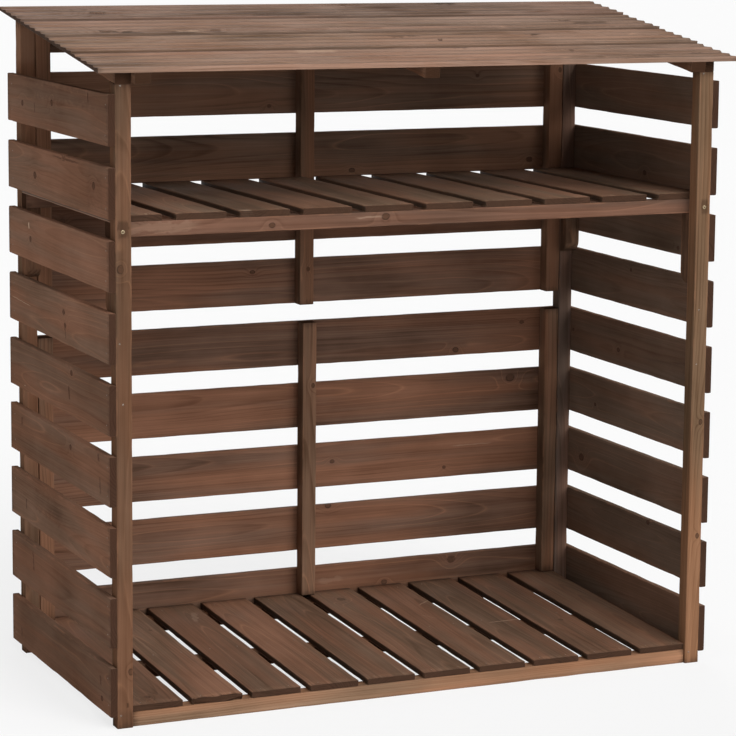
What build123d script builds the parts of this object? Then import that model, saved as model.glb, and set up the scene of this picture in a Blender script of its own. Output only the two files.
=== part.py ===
"""Open timber log store with a sloping roof of stepped boards, a slatted floor and one shelf.

Millimetres, +Z up. The front faces -Y and the right-hand side is +X. The origin lies on the
ground under the middle of the overall outline. "Front" heights and setbacks are measured from
the front faces of the front posts.
"""
import os
from math import cos, radians, sin, tan

from build123d import *

# ---- overall sizes
FRAME_W = 1146.0          # across the outer faces of the side boards
FRAME_D = 558.0           # front faces of the posts to the outer faces of the back boards
ROOF_SIDE_OVERHANG = 23.5 # roof boards beyond the side boards
ROOF_OVERHANG = 20.6      # roof edge in front of the posts
ROOF_SLOPE = 8.1          # degrees, falling to the front
EAVES_GAP = 38.1          # top side board up to the roof, at the front

# ---- side and back boards
SLAT_T = 12.0
SLAT_H = 85.0
SLAT_PITCH = 120.0
FIRST_SLAT_Z = 20.5       # underside of the lowest board
SIDE_ROWS = 9
LOWER_BACK_ROWS = 5
UPPER_BACK_ROWS = 5
TOP_BOARD_DROP = 2.5      # the highest back board is set this much low
EDGE_EASE = 1.5           # rounding of every sawn edge

# ---- posts, rails and battens
POST_W = 28.0
POST_D = 27.0
RAFTER_H = 22.0
ROOF_BATTEN_H = 19.0
BATTEN_W = 28.0
UPPER_BATTEN_SHIFT = -4.0  # middle batten of the upper back panel, off centre
LOWER_BATTEN_SHIFT = 3.0   # and of the lower one
RAIL_H = 25.5
RAIL_D = 27.0

# ---- floor panel, laid with its back edge raised
DECK_BOARDS = 10
DECK_BOARD_W = 90.3
DECK_BOARD_T = 11.0
FLOOR_SETBACK = 5.0       # front rail behind the post faces
FLOOR_TILT = 2.17         # degrees
FLOOR_BOARD_INSET = 1.5   # board ends behind the face of the front rail
BACK_RAIL_INSET = 12.0    # back rail in front of the back boards
MIDDLE_RAIL_SHARE = 0.485 # middle rail, as a share of the way from front rail to back rail

# ---- shelf
SHELF_Z = 827.0           # underside of the shelf rails
SHELF_BOARD_W = 90.0
SHELF_BLOCK_L = 127.0
SHELF_BLOCK_D = 25.0
BLOCK_NOSE_R = 22.0

# ---- roof boards
ROOF_BOARDS = 4
ROOF_BOARD_T = 9.0        # at the front edge of a roof board
ROOF_BOARD_BACK_T = 6.8   # of its steps at the back edge
ROOF_BOARD_GAP = 1.6
RISERS = 4                # steps across the top of each roof board
FIRST_RISER = 23.0        # from the front edge of a board to its first step
RISER_PITCH = 31.4
RISER_RUN = 5.0
RISER_H = 3.4

# ---- clearances
PANEL_FIT = 0.5           # between a panel and the frame it stands in
BACK_END_FIT = 4.5        # between the ends of the back boards and the side boards
BATTEN_FIT = 1.0          # between a batten and the post beside it

# ---- places worked out from the sizes above
FRONT_Y = (ROOF_OVERHANG - FRAME_D) / 2
BACK_BOARD_Y = FRONT_Y + FRAME_D - SLAT_T
BACK_POST_Y = BACK_BOARD_Y - POST_D
SIDE_INNER_X = FRAME_W / 2 - SLAT_T
ROOF_W = FRAME_W + 2 * ROOF_SIDE_OVERHANG
POST_INNER_X = SIDE_INNER_X - POST_W
TOP_SIDE_Z = FIRST_SLAT_Z + (SIDE_ROWS - 1) * SLAT_PITCH + SLAT_H
EAVES_Z = TOP_SIDE_Z + EAVES_GAP
SLOPE_COS = cos(radians(ROOF_SLOPE))
ROOF_LENGTH = FRAME_D / SLOPE_COS
ROOF_START = (ROOF_BOARD_T * sin(radians(ROOF_SLOPE)) - ROOF_OVERHANG) / SLOPE_COS
SHELF_TOP_Z = SHELF_Z + RAIL_H
FLOOR_REACH = (BACK_BOARD_Y - FRONT_Y - FLOOR_SETBACK) / cos(radians(FLOOR_TILT))
BACK_RAIL_AT = FLOOR_REACH - BACK_RAIL_INSET - RAIL_D
SIDES = {"left": -1, "right": 1}


def roof_underside(y):
    """Height of the underside of the roof boards over a place in the depth."""
    return EAVES_Z + (y - FRONT_Y) * tan(radians(ROOF_SLOPE))


def depth_plane(y, z, tilt=0.0):
    """Section seen from the right: its x runs back along the tilt, its y rises from it."""
    turn = radians(tilt)
    return Plane(origin=(0, y, z), x_dir=(0, cos(turn), sin(turn)), z_dir=(1, 0, 0))


def width_plane(y, z, tilt=0.0):
    """Section seen from the front: its x runs to the right, its y rises from the tilt."""
    turn = radians(tilt)
    return Plane(origin=(0, y, z), x_dir=(1, 0, 0), z_dir=(0, -cos(turn), -sin(turn)))


def spread(first, last, count):
    """Evenly spaced centres from first to last."""
    return [first + (last - first) * i / (count - 1) for i in range(count)]


def write(built, name):
    """Label a finished piece and write its STEP file."""
    built.part.label = name
    export_step(built.part, f"parts/{name}.step")


def make_post(side, y, name):
    """Upright with its top cut to the slope, so that the side rail lies on it."""
    centre_x = SIDES[side] * (SIDE_INNER_X - POST_W / 2)
    slope = radians(ROOF_SLOPE)
    seat_z = EAVES_Z - RAFTER_H / SLOPE_COS
    seat = Plane(origin=(0, FRONT_Y, seat_z), x_dir=(1, 0, 0), z_dir=(0, -sin(slope), cos(slope)))
    with BuildPart() as post:
        with BuildSketch(Plane.XY):
            with Locations((centre_x, y + POST_D / 2)):
                RectangleRounded(POST_W, POST_D, EDGE_EASE)
        extrude(amount=roof_underside(y + POST_D))
        split(bisect_by=seat, keep=Keep.BOTTOM)
    write(post, name)


def make_side_boards(side):
    """One side's rows of boards, nailed to the outside of its two posts."""
    centre_x = SIDES[side] * (SIDE_INNER_X + SLAT_T / 2)
    heights = [FIRST_SLAT_Z + SLAT_H / 2 + row * SLAT_PITCH for row in range(SIDE_ROWS)]
    with BuildPart() as boards:
        with BuildSketch(width_plane(FRONT_Y, 0)):
            with Locations([(centre_x, z) for z in heights]):
                RectangleRounded(SLAT_T, SLAT_H, EDGE_EASE)
        extrude(amount=-FRAME_D)
    write(boards, f"side_boards_{side}")


def make_side_rail(side):
    """Sloping rail on top of one side's posts, cut plumb at both ends."""
    inner_x = POST_INNER_X if side == "right" else -SIDE_INNER_X
    drop = RAFTER_H / SLOPE_COS
    with BuildPart() as rail:
        with BuildSketch(Plane.YZ.offset(inner_x)):
            with BuildLine():
                Polyline(
                    (FRONT_Y, roof_underside(FRONT_Y) - drop),
                    (BACK_BOARD_Y, roof_underside(BACK_BOARD_Y) - drop),
                    (BACK_BOARD_Y, roof_underside(BACK_BOARD_Y)),
                    (FRONT_Y, roof_underside(FRONT_Y)),
                    close=True,
                )
            make_face()
        extrude(amount=POST_W)
    write(rail, f"top_rail_{side}")


def make_back_boards(level, first_row, rows):
    """Boards of one back panel, behind its battens and the back posts."""
    width = 2 * (SIDE_INNER_X - BACK_END_FIT)
    top_row = LOWER_BACK_ROWS + UPPER_BACK_ROWS - 1
    with BuildPart() as boards:
        with BuildSketch(depth_plane(BACK_BOARD_Y + SLAT_T / 2, 0)):
            for row in range(first_row, first_row + rows):
                low = FIRST_SLAT_Z + row * SLAT_PITCH
                high = low + SLAT_H
                if row == top_row:
                    low -= TOP_BOARD_DROP
                    high = roof_underside(BACK_BOARD_Y) - PANEL_FIT
                with Locations((0, (low + high) / 2)):
                    RectangleRounded(SLAT_T, high - low, EDGE_EASE)
        extrude(amount=width / 2, both=True)
    write(boards, f"back_boards_{level}")


def make_back_batten(level, place, centre_x, low, high):
    """Upright on the inner face of a back panel."""
    with BuildPart() as batten:
        with BuildSketch(Plane.XY.offset(low)):
            with Locations((centre_x, BACK_BOARD_Y - POST_D / 2)):
                RectangleRounded(BATTEN_W, POST_D, EDGE_EASE)
        extrude(amount=high - low)
    write(batten, f"back_batten_{level}_{place}")


def make_floor_rail(name, along):
    """Cross rail under the floor boards, square to the tilted panel."""
    width = 2 * (POST_INNER_X - PANEL_FIT)
    with BuildPart() as rail:
        with BuildSketch(depth_plane(FRONT_Y + FLOOR_SETBACK, 0, FLOOR_TILT)):
            with Locations((along + RAIL_D / 2, RAIL_H / 2)):
                RectangleRounded(RAIL_D, RAIL_H, EDGE_EASE)
        extrude(amount=width / 2, both=True)
    write(rail, name)


def make_floor_boards():
    """Floor boards laid front to back on the three floor rails, up to the back boards."""
    tilt = radians(FLOOR_TILT)
    length = FLOOR_REACH - PANEL_FIT - FLOOR_BOARD_INSET
    start_y = FRONT_Y + FLOOR_SETBACK + FLOOR_BOARD_INSET * cos(tilt)
    outermost = POST_INNER_X - PANEL_FIT - DECK_BOARD_W / 2
    with BuildPart() as boards:
        with BuildSketch(width_plane(start_y, FLOOR_BOARD_INSET * sin(tilt), FLOOR_TILT)):
            middle = RAIL_H + DECK_BOARD_T / 2
            with Locations([(x, middle) for x in spread(-outermost, outermost, DECK_BOARDS)]):
                RectangleRounded(DECK_BOARD_W, DECK_BOARD_T, EDGE_EASE)
        extrude(amount=-length)
    write(boards, "floor_boards")


def make_shelf_rail(name, y):
    """Long rail under the shelf, screwed to the inner faces of two posts."""
    width = 2 * (SIDE_INNER_X - PANEL_FIT)
    with BuildPart() as rail:
        with BuildSketch(depth_plane(y, SHELF_Z)):
            with Locations((RAIL_D / 2, RAIL_H / 2)):
                RectangleRounded(RAIL_D, RAIL_H, EDGE_EASE)
        extrude(amount=width / 2, both=True)
    write(rail, name)


def make_shelf_boards():
    """Shelf boards laid front to back between the front posts and the back posts."""
    outermost = SIDE_INNER_X - PANEL_FIT - SHELF_BOARD_W / 2
    with BuildPart() as boards:
        with BuildSketch(width_plane(FRONT_Y + POST_D, SHELF_TOP_Z)):
            middle = DECK_BOARD_T / 2
            with Locations([(x, middle) for x in spread(-outermost, outermost, DECK_BOARDS)]):
                RectangleRounded(SHELF_BOARD_W, DECK_BOARD_T, EDGE_EASE)
        extrude(amount=-(BACK_POST_Y - FRONT_Y - POST_D))
    write(boards, "shelf_boards")


def make_shelf_block(side, place):
    """Short block under a shelf rail, fixed in the corner of a post and the side boards.

    Its lower corner away from the post is rounded.
    """
    inner_x = POST_INNER_X if side == "right" else -SIDE_INNER_X
    if place == "front":
        near, far = FRONT_Y + POST_D, FRONT_Y + POST_D + SHELF_BLOCK_D
    else:
        near, far = BACK_POST_Y, BACK_POST_Y - SHELF_BLOCK_D
    with BuildPart() as block:
        with BuildSketch(Plane.YZ.offset(inner_x)):
            with Locations(((near + far) / 2, SHELF_Z - SHELF_BLOCK_L / 2)):
                Rectangle(SHELF_BLOCK_D, SHELF_BLOCK_L)
            lower_corners = vertices().group_by(Axis.Z)[0]
            fillet(lower_corners.sort_by(Axis.Y)[-1 if far > near else 0], BLOCK_NOSE_R)
        extrude(amount=POST_W)
    write(block, f"shelf_block_{place}_{side}")


def roof_board_section(start, board_w):
    """Tapered section of a roof board: its treads fall back to steep little risers."""
    taper = (ROOF_BOARD_T - ROOF_BOARD_BACK_T) / board_w
    fall = RISER_H / (RISER_PITCH - RISER_RUN)
    points = [(0, 0), (0, ROOF_BOARD_T)]
    head = 0
    for riser in range(RISERS):
        foot = FIRST_RISER + riser * RISER_PITCH
        points.append((foot, ROOF_BOARD_T - taper * foot - fall * (foot - head)))
        head = foot + RISER_RUN
        points.append((head, ROOF_BOARD_T - taper * head))
    points.append((board_w, ROOF_BOARD_BACK_T - fall * (board_w - head)))
    points.append((board_w, 0))
    return [(start + along, height) for along, height in points]


def make_roof_board(number):
    """Tapered roof board with a stepped upper face, running left to right."""
    board_w = (ROOF_LENGTH - (ROOF_BOARDS - 1) * ROOF_BOARD_GAP) / ROOF_BOARDS
    start = ROOF_START + (number - 1) * (board_w + ROOF_BOARD_GAP)
    with BuildPart() as board:
        with BuildSketch(depth_plane(FRONT_Y, EAVES_Z, ROOF_SLOPE)):
            with BuildLine():
                Polyline(*roof_board_section(start, board_w), close=True)
            make_face()
        extrude(amount=ROOF_W / 2, both=True)
    write(board, f"roof_board_{number}")


def make_roof_batten(place, centre_x):
    """Batten under the roof boards, from the front edge of the roof to its back edge."""
    with BuildPart() as batten:
        with BuildSketch(width_plane(FRONT_Y, EAVES_Z, ROOF_SLOPE)):
            with Locations((centre_x, -ROOF_BATTEN_H / 2)):
                RectangleRounded(BATTEN_W, ROOF_BATTEN_H, EDGE_EASE)
        extrude(amount=-ROOF_LENGTH - ROOF_START)
        extrude(faces().sort_by(Axis.Y)[0], amount=-ROOF_START)
    write(batten, f"roof_batten_{place}")


os.makedirs("parts", exist_ok=True)

for side in SIDES:
    make_post(side, FRONT_Y, f"post_front_{side}")
    make_post(side, BACK_POST_Y, f"post_back_{side}")
    make_side_boards(side)
    make_side_rail(side)
    make_shelf_block(side, "front")
    make_shelf_block(side, "back")

outer_batten_x = POST_INNER_X - BATTEN_FIT - BATTEN_W / 2
floor_top_n = (RAIL_H + DECK_BOARD_T) * cos(radians(FLOOR_TILT))
floor_back_z = floor_top_n + FLOOR_REACH * sin(radians(FLOOR_TILT))
lower_top_z = FIRST_SLAT_Z + (LOWER_BACK_ROWS - 1) * SLAT_PITCH + SLAT_H
upper_low_z = FIRST_SLAT_Z + LOWER_BACK_ROWS * SLAT_PITCH
upper_top_z = roof_underside(BACK_POST_Y) - ROOF_BATTEN_H / SLOPE_COS - PANEL_FIT

make_back_boards("lower", 0, LOWER_BACK_ROWS)
make_back_boards("upper", LOWER_BACK_ROWS, UPPER_BACK_ROWS)
for level, shift, low, high in (
    ("lower", LOWER_BATTEN_SHIFT, floor_back_z + PANEL_FIT, lower_top_z),
    ("upper", UPPER_BATTEN_SHIFT, upper_low_z, upper_top_z),
):
    make_back_batten(level, "left", -outer_batten_x, low, high)
    make_back_batten(level, "middle", shift, low, high)
    make_back_batten(level, "right", outer_batten_x, low, high)

make_floor_rail("floor_rail_front", 0)
make_floor_rail("floor_rail_middle", BACK_RAIL_AT * MIDDLE_RAIL_SHARE)
make_floor_rail("floor_rail_back", BACK_RAIL_AT)
make_floor_boards()

make_shelf_rail("shelf_rail_front", FRONT_Y + POST_D)
make_shelf_rail("shelf_rail_back", BACK_POST_Y - RAIL_D)
make_shelf_boards()

for number in range(1, ROOF_BOARDS + 1):
    make_roof_board(number)
roof_batten_x = POST_INNER_X - BATTEN_W / 2
make_roof_batten("left", -roof_batten_x)
make_roof_batten("middle", 0)
make_roof_batten("right", roof_batten_x)
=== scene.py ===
import math
import random

import bpy
from mathutils import Matrix, Vector, noise


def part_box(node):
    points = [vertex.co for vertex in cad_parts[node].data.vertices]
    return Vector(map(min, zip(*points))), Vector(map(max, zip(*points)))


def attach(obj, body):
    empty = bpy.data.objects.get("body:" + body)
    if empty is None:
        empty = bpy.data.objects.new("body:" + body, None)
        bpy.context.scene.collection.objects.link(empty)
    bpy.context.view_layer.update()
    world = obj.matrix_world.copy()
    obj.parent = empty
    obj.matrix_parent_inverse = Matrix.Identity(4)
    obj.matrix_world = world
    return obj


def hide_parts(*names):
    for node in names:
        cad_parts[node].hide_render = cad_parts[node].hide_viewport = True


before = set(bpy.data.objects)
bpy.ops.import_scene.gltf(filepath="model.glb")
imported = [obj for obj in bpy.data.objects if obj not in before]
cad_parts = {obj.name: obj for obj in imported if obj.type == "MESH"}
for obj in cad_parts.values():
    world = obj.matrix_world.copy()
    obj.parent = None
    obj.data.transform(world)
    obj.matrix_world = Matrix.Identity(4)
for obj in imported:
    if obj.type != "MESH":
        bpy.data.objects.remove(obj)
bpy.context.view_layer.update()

# ---------------------------------------------------------------- sizes, in metres
SLAT_H = 0.085  # side and back boards
SLAT_T = 0.012
SLAT_PITCH = 0.120
SIDE_ROWS = 9
PANEL_ROWS = 5  # boards in each of the two panels of the back
LOOSE_ROW = 2  # a board of the upper panel that hangs lower
LOOSE_DROP = 0.0015
DECK_BOARDS = 10  # in the floor, and in the shelf
DECK_W = 0.0903  # floor boards
SHELF_W = 0.090
DECK_T = 0.011
DECK_EASE = 0.0008  # eased edges of the floor and shelf boards
ROOF_T = 0.009  # roof boards, at the front edge and at the back edge
ROOF_BACK_T = 0.0068
ROOF_BOARDS = 4
RISERS = 4  # little steps across the top of a roof board
FIRST_RISER = 0.023
RISER_PITCH = 0.0314
RISER_RUN = 0.005
RISER_H = 0.0034
RAFTER_H = 0.022  # sloping rails on the posts
ROOF_BATTEN_H = 0.019
RAIL_H = 0.0255  # floor rails
RAIL_D = 0.027
BLOCK_NOSE_R = 0.022  # rounded corner of a shelf block
BLOCK_EASE = 0.001
EDGE_EASE = 0.0013  # eased edges of sawn timber
END_LIP = 0.0006  # how far in the eased edge of a cut end reaches
EDGE_RUB = 0.0008  # the most that an edge is rubbed back
RING_STEP = 0.0046  # between two growth rings
NAIL_R = 0.0014
POST_NAIL_R = 0.0018
SCREW_R = 0.0034
SLAT_NAIL_UP = 0.024  # from the middle of a side or back board to its nails
DECK_NAIL_ASIDE = 0.026  # from the middle of a floor or shelf board to its nails
TREAD_NAIL = 0.011  # from the head of a roof board's tread to its nail
ROOF_SLOPE = math.radians(8.1)
FLOOR_TILT = math.radians(2.17)
X = Vector((1, 0, 0))
Y = Vector((0, 1, 0))
Z = Vector((0, 0, 1))
UP_ROOF = Vector((0, math.cos(ROOF_SLOPE), math.sin(ROOF_SLOPE)))
UP_FLOOR = Vector((0, math.cos(FLOOR_TILT), math.sin(FLOOR_TILT)))
OFF_ROOF = X.cross(UP_ROOF)
roof_low, roof_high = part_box("roof_board_1")
ROOF_BOARD_W = (roof_high.y - roof_low.y - ROOF_T * math.sin(ROOF_SLOPE)) / math.cos(ROOF_SLOPE)


# ---------------------------------------------------------------- sawn timber
def corner(x, y, r, start, steps=3):
    """Points of a quarter round about (x, y), each with 1 for a rubbed edge."""
    turn = [math.radians(start + 90 * k / steps) for k in range(steps + 1)]
    return [(x + r * math.cos(a), y + r * math.sin(a), 1.0) for a in turn]


def flat(a, b, count, skirt=0.0022):
    """Points between two corners, close to each of them and spread over the middle."""
    span = math.dist(a[:2], b[:2])
    stops = [skirt / span] + [i / count for i in range(1, count)] + [1 - skirt / span]
    return [(a[0] + (b[0] - a[0]) * s, a[1] + (b[1] - a[1]) * s, 0.0) for s in stops]


def sawn_outline(w, t, ease):
    """Outline of a sawn board or batten, counter-clockwise: (across, through, wear)."""
    hw, ht = w / 2 - ease, t / 2 - ease
    middles = ((hw, ht), (-hw, ht), (-hw, -ht), (hw, -ht))
    corners = [corner(x, y, ease, 90 * k) for k, (x, y) in enumerate(middles)]
    points = []
    for k, this in enumerate(corners):
        following = corners[(k + 1) % 4]
        points += this + flat(this[-1], following[0], 8 if k in (0, 2) else 3)
    return points


def roof_height(along, head):
    """Height of a roof board's tread over its underside, from the board's front edge and the tread's."""
    taper = (ROOF_T - ROOF_BACK_T) / ROOF_BOARD_W
    fall = RISER_H / (RISER_PITCH - RISER_RUN)
    return ROOF_T - taper * along - fall * (along - head)


def stepped_outline(w, t, covered):
    """Outline of a roof board: flat below and tapered, with treads and little risers above. Painted shade, a
    wear value below 0, sits at the foot of each riser, most at the board's back edge, and on the lower part
    of a front face that another board covers."""
    heads = [0.0] + [FIRST_RISER + k * RISER_PITCH + RISER_RUN for k in range(RISERS)]
    feet = [FIRST_RISER + k * RISER_PITCH for k in range(RISERS)] + [w]
    # A covered front face gets painted shade (below 0), an open one a little wear.
    low_wear_and_shade = -0.6 if covered else 0.3
    top = []
    for head, foot in zip(heads, feet):
        crest, trough = (head, roof_height(head, head)), (foot, roof_height(foot, head))
        if top:
            top += flat(top[-1], crest, 2, 0.0012)
        top += [(*crest, 1.0)] + flat(crest, trough, 3, 0.0024)
        # Painted shade: below 0 at the foot of each riser, and most at the back edge, in the joint.
        top.append((*trough, -0.5 if foot < w else -1.2))
    loop = [(0.0, 0.0, low_wear_and_shade)] + flat((0.0, 0.0), (w, 0.0), 8) + [(w, 0.0, 0.3)]
    loop += flat((w, 0.0), top[-1], 1, 0.0007) + top[::-1]
    loop += flat(top[0], (0.0, 0.0), 2, 0.0012)[:1] + [(0.0, t / 2, low_wear_and_shade), (0.0, 0.0012, low_wear_and_shade)]
    return [(x - w / 2, y - t / 2, wear) for x, y, wear in loop]


class Timber:
    """One visual piece: one or more pieces of timber in one mesh, with what the wood material reads
    held at each point.

    grain    the place in the log: along the trunk, then the two ways across it
    local    the place in the piece of timber, from its middle
    edge     how far the nearest cut end, the nearest side and the nearest face are
    knot_*   where a knot goes through, along and across, and its radius
    mark_*   where a scratch, crack, stain or patch of painted light is, along and across, and its turn
    size_*   half its length, half its width, and how much paler (above 0) or darker it is
    tone     the piece's brightness, in red, green and blue, raised as painted light on the back left post and tinted as a painted sheen on the right side boards
    wear     1 on the sawn edges, and below 0 for painted shade at the feet of the roof's risers, at its joints and on its covered front faces
    end      1 on the cut ends
    """

    KNOTS, MARKS = "ab", "abcd"
    VECTORS = ["grain", "local", "edge", "tone"] + ["knot_" + k for k in KNOTS]
    VECTORS += ["mark_" + k for k in MARKS] + ["size_" + k for k in MARKS]
    VALUES = ["wear", "end"]

    def __init__(self, name, seed):
        self.name = name
        self.rng = random.Random(seed)
        self.points, self.faces, self.smooth = [], [], []
        self.data = {k: [] for k in self.VECTORS + self.VALUES}

    def add(self, centre, along, across, size, outline=None, ease=EDGE_EASE, cut=((0, 0), (0, 0)), knots=(),
            marks=(), nicks=(), tone=(1, 1, 1), wear=1.0, ragged=0.0, step=0.02):
        """Adds a piece of timber of this length, width and thickness. cut slopes its two ends: how far
        each moves along for a unit across and through. nicks are (along, across sign, through sign, half
        length, depth) bites in an edge. ragged is how far the first end is splintered back."""
        rng = self.rng
        length, w, t = size
        through = along.cross(across)
        points = outline or sawn_outline(w, t, ease)
        log = (rng.uniform(0, 40), rng.uniform(-0.03, 0.03), rng.choice((-1, 1)) * rng.uniform(0.022, 0.07))
        piece_tone = tuple(Vector(tone) * rng.uniform(0.86, 1.16))
        seed = Vector([rng.uniform(0, 90) for _ in range(3)])
        fixed = self.same_all_over(piece_tone, knots, marks)
        stations = self.stations(length, step, nicks)
        first = len(self.points)
        for s in stations:
            at_end = s in (stations[0], stations[-1])
            shrink = (1 - 2 * END_LIP / w, 1 - 2 * END_LIP / t) if at_end else (1, 1)
            for across_at, through_at, wear_and_shade in points:
                a, b = across_at * shrink[0], through_at * shrink[1]
                start = -length / 2 + cut[0][0] * a + cut[0][1] * b
                stop = length / 2 + cut[1][0] * a + cut[1][1] * b
                x = start + s / length * (stop - start)
                if ragged and s <= END_LIP:
                    x += ragged * max(0.0, noise.noise(Vector((a * 150, b * 90, 0)) + seed) + 0.15)
                place = (x, a, b)
                # Only values above 0 rub the edge back; values below 0 are painted shade.
                if wear_and_shade > 0:
                    a, b = self.wear_edge(x, a, b, seed, wear_and_shade * wear, w, t)
                a, b = self.bite(x, a, b, nicks, seed, w)
                self.points.append(centre + along * x + across * a + through * b)
                self.note(place, size, log, fixed, wear_and_shade, 1.0 if at_end else 0.0)
        self.skin(first, len(stations), len(points))
        for row, outward in ((0, False), (len(stations) - 1, True)):
            self.cap(first + row * len(points), len(points), outward)

    def same_all_over(self, tone, knots, marks):
        """The values that are the same at every point of a piece of timber."""
        fixed = {"tone": tone}
        for k, name in enumerate(self.KNOTS):
            fixed["knot_" + name] = knots[k] if k < len(knots) else (0, 0, 0)
        for k, name in enumerate(self.MARKS):
            here = marks[k] if k < len(marks) else ((0, 0, 0), (0, 0, 0))
            fixed["mark_" + name], fixed["size_" + name] = here
        return fixed

    @staticmethod
    def stations(length, step, nicks):
        """Where the rounds of points stand along a piece, closer together at its ends and nicks."""
        count = max(4, round(length / step))
        found = {0.0, END_LIP, length - END_LIP, length}
        found |= {length * i / count for i in range(1, count)}
        for x, _, _, half, _ in nicks:
            found |= {x + length / 2 + half * f for f in (-1, -0.7, -0.4, -0.15, 0.1, 0.35, 0.65, 1)}
        return sorted(s for s in found if 0 <= s <= length)

    @staticmethod
    def wear_edge(x, a, b, seed, amount, w, t):
        """Rubs an edge back unevenly."""
        p = Vector((x * 22, a * 60, b * 60)) + seed
        rub = max(0.0, noise.noise(p)) + 1.5 * max(0.0, noise.noise(p * 4.1) - 0.3)
        rub = min(rub, 1.0) * amount * EDGE_RUB
        return a - math.copysign(min(rub, w * 0.04), a), b - math.copysign(min(rub, t * 0.04), b)

    @staticmethod
    def bite(x, a, b, nicks, seed, w):
        """Moves a point in where a splinter has come off an edge."""
        for at, side, face, half, depth in nicks:
            reach = 1 - abs(x - at) / half
            if reach <= 0:
                continue
            near = side * a - (w / 2 - 1.6 * depth)
            if near > 0 and (face == 0 or face * b > 0):
                ragged = 0.75 + 0.5 * noise.noise(Vector((x * 400, b * 300, 0)) + seed)
                a -= side * min(near, near * min(1.0, reach * 2.2) * ragged)
        return a, b

    def note(self, place, size, log, fixed, wear_and_shade, end):
        """Notes what the wood material reads at a point."""
        x, a, b = place
        length, w, t = size
        row = {
            **fixed,
            "grain": (x + log[0], a + log[1], b + log[2]),
            "local": place,
            "edge": (length / 2 - abs(x), w / 2 - abs(a), t / 2 - abs(b)),
            "wear": wear_and_shade,
            "end": end,
        }
        for key, value in row.items():
            self.data[key].append(value)

    def skin(self, first, rows, n):
        """Closes the long faces between the rounds of n points. Only the eased ends stay sharp."""
        for i in range(rows - 1):
            p, q = first + i * n, first + (i + 1) * n
            for j in range(n):
                k = (j + 1) % n
                self.faces.append((p + j, p + k, q + k, q + j))
                self.smooth.append(0 < i < rows - 2)

    def cap(self, ring, n, outward):
        """Closes an end with one face."""
        loop = range(ring, ring + n)
        self.faces.append(tuple(loop) if outward else tuple(reversed(loop)))
        self.smooth.append(False)

    def build(self, material, slot, *nodes):
        """Makes the mesh, in place of these CAD nodes."""
        mesh = bpy.data.meshes.new(self.name)
        mesh.from_pydata([tuple(p) for p in self.points], [], self.faces)
        mesh.polygons.foreach_set("use_smooth", self.smooth)
        for name in self.VECTORS:
            attribute = mesh.attributes.new(name, "FLOAT_VECTOR", "POINT")
            attribute.data.foreach_set("vector", [c for row in self.data[name] for c in row])
        for name in self.VALUES:
            attribute = mesh.attributes.new(name, "FLOAT", "POINT")
            attribute.data.foreach_set("value", self.data[name])
        mesh.materials.append(material)
        show(mesh, self.name, slot, *nodes)


def show(mesh, name, slot, *nodes):
    """Puts a mesh in the scene in place of its CAD nodes."""
    piece = bpy.data.objects.new(name, mesh)
    bpy.context.scene.collection.objects.link(piece)
    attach(piece, "root")
    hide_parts(*nodes)


# ---------------------------------------------------------------- materials
class Graph:
    """Short calls for building a material's nodes."""

    def __init__(self, name):
        self.material = bpy.data.materials.new(name)
        self.material.use_nodes = True
        self.tree = self.material.node_tree
        self.tree.nodes.clear()

    def node(self, kind, inputs=None, **settings):
        made = self.tree.nodes.new("ShaderNode" + kind)
        for key, value in settings.items():
            setattr(made, key, value)
        for key, value in (inputs or {}).items():
            if isinstance(value, bpy.types.NodeSocket):
                self.tree.links.new(value, made.inputs[key])
            else:
                made.inputs[key].default_value = value
        return made

    def calc(self, operation, *values):
        return self.node("Math", dict(enumerate(values)), operation=operation).outputs[0]

    def add(self, *values):
        total = values[0]
        for value in values[1:]:
            total = self.calc("ADD", total, value)
        return total

    def sub(self, a, b):
        return self.calc("SUBTRACT", a, b)

    def mul(self, *values):
        total = values[0]
        for value in values[1:]:
            total = self.calc("MULTIPLY", total, value)
        return total

    def stretch(self, vector, *scale):
        return self.node("VectorMath", {0: vector, 1: scale}, operation="MULTIPLY").outputs[0]

    def split(self, vector):
        return self.node("SeparateXYZ", {0: vector}).outputs

    def join(self, *values):
        return self.node("CombineXYZ", dict(enumerate(values))).outputs[0]

    def vector(self, name):
        return self.node("Attribute", attribute_name=name).outputs["Vector"]

    def value(self, name):
        return self.node("Attribute", attribute_name=name).outputs["Fac"]

    def noise(self, vector, detail=2.0, rough=0.5):
        inputs = {"Vector": vector, "Scale": 1.0, "Detail": detail, "Roughness": rough}
        return self.node("TexNoise", inputs).outputs["Fac"]

    def band(self, value, low, high, start=0.0, stop=1.0):
        """Moves smoothly from start to stop as value goes from low to high."""
        return self.node("MapRange", {0: value, 1: low, 2: high, 3: start, 4: stop},
                         interpolation_type="SMOOTHSTEP").outputs[0]

    def curve(self, value, *stops):
        """A grey ramp through (place, level) stops."""
        ramp = self.node("ValToRGB", {0: value})
        elements = ramp.color_ramp.elements
        while len(elements) < len(stops):
            elements.new(0.5)
        for element, (place, level) in zip(elements, stops):
            element.position = place
            element.color = (level, level, level, 1)
        return ramp.outputs["Color"]

    def mix(self, amount, a, b, mode="MIX"):
        a, b = [v if isinstance(v, bpy.types.NodeSocket) else (*v, 1) for v in (a, b)]
        return self.node("Mix", {0: amount, 6: a, 7: b}, data_type="RGBA", blend_type=mode).outputs[2]

    def surface(self, **inputs):
        names = {
            "colour": "Base Color",
            "rough": "Roughness",
            "normal": "Normal",
            "gloss": "Specular IOR Level",
            "metal": "Metallic",
        }
        shader = self.node("BsdfPrincipled", {names[k]: v for k, v in inputs.items()})
        self.node("OutputMaterial", {0: shader.outputs[0]})
        return self.material


def scaled(colour, factor):
    """A colour made darker or paler as a whole."""
    return tuple(c * factor for c in colour)


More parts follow.
